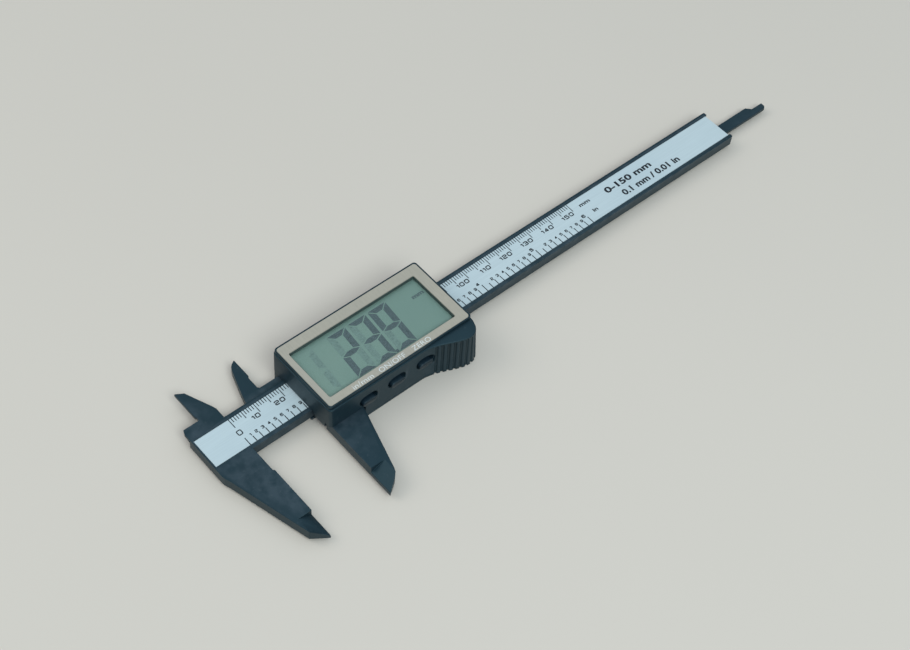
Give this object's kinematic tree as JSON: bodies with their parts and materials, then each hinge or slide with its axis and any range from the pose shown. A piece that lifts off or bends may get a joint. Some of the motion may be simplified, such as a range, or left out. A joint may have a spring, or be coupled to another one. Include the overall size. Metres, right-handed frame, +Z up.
{
  "type": "digital caliper",
  "caption": "Plastic digital caliper: a slider with a large display, push buttons and a thumb grip moves along a graduated beam with outside jaws, inside jaws and a depth rod.",
  "frame": {"origin": "centre of the rectangle that bounds the caliper seen from above, at the height of the surface it lies on (the flat back of the slider)", "axes": "+X along the beam towards its free end and the depth rod, +Y across the beam towards the inside jaws, +Z up out of the display"},
  "size_m": [0.262, 0.0718, 0.017],
  "materials": {
    "black_plastic": "fine moulded texture, satin",
    "silver_print": "printed warm silver, smooth",
    "label_foil": "printed pale silver foil label, satin",
    "copper_clad": "green glass-fibre circuit board",
    "clear_plastic": "clear, polished",
    "crystal_glass": "grey-green liquid crystal display glass",
    "steel": "bright",
    "spring_bronze": "bright",
    "soft_black": "matt"
  },
  "bodies": {
    "beam": {"beam_frame": "black_plastic", "scale_strip": "copper_clad", "scale_label": "label_foil"},
    "slider": {"slider_frame": "black_plastic", "gib_strip": "spring_bronze", "gib_spring": "steel", "slider_case": "black_plastic", "display_cover": "black_plastic", "bezel_plate": "silver_print", "window_pane": "clear_plastic", "lcd_front_glass": "crystal_glass", "lcd_rear_glass": "crystal_glass", "lcd_carrier": "soft_black", "zebra_connector": "soft_black", "main_board": "copper_clad", "controller_chip": "soft_black", "filter_capacitor": "spring_bronze", "board_screw_1": "steel", "board_screw_2": "steel", "button_cell": "steel", "battery_contact_negative": "spring_bronze", "battery_contact_positive": "spring_bronze", "back_plate": "black_plastic", "back_screw_1": "steel", "back_screw_2": "steel", "back_screw_3": "steel", "back_screw_4": "steel", "rod_screw": "steel", "depth_rod": "black_plastic", "switch_in_mm": "soft_black", "switch_on_off": "soft_black", "switch_zero": "soft_black"},
    "in_mm_button": {"button_in_mm": "soft_black"},
    "on_off_button": {"button_on_off": "soft_black"},
    "zero_button": {"button_zero": "soft_black"},
    "battery_cover": {"battery_door": "black_plastic"}
  },
  "joints": [
    {"name": "slider_slide", "type": "slide", "parent": "beam", "child": "slider", "axis": [1, 0, 0], "range_m": [-0.02388, 0.1261]},
    {"name": "in_mm_press", "type": "slide", "parent": "slider", "child": "in_mm_button", "axis": [0, 1, 0], "range_m": [0, 0.0005], "stiffness_N_per_m": 800},
    {"name": "on_off_press", "type": "slide", "parent": "slider", "child": "on_off_button", "axis": [0, 1, 0], "range_m": [0, 0.0005], "stiffness_N_per_m": 800},
    {"name": "zero_press", "type": "slide", "parent": "slider", "child": "zero_button", "axis": [0, 1, 0], "range_m": [0, 0.0005], "stiffness_N_per_m": 800},
    {"name": "battery_cover_slide", "type": "slide", "parent": "slider", "child": "battery_cover", "axis": [1, 0, 0], "range_m": [0, 0.014]}
  ]
}
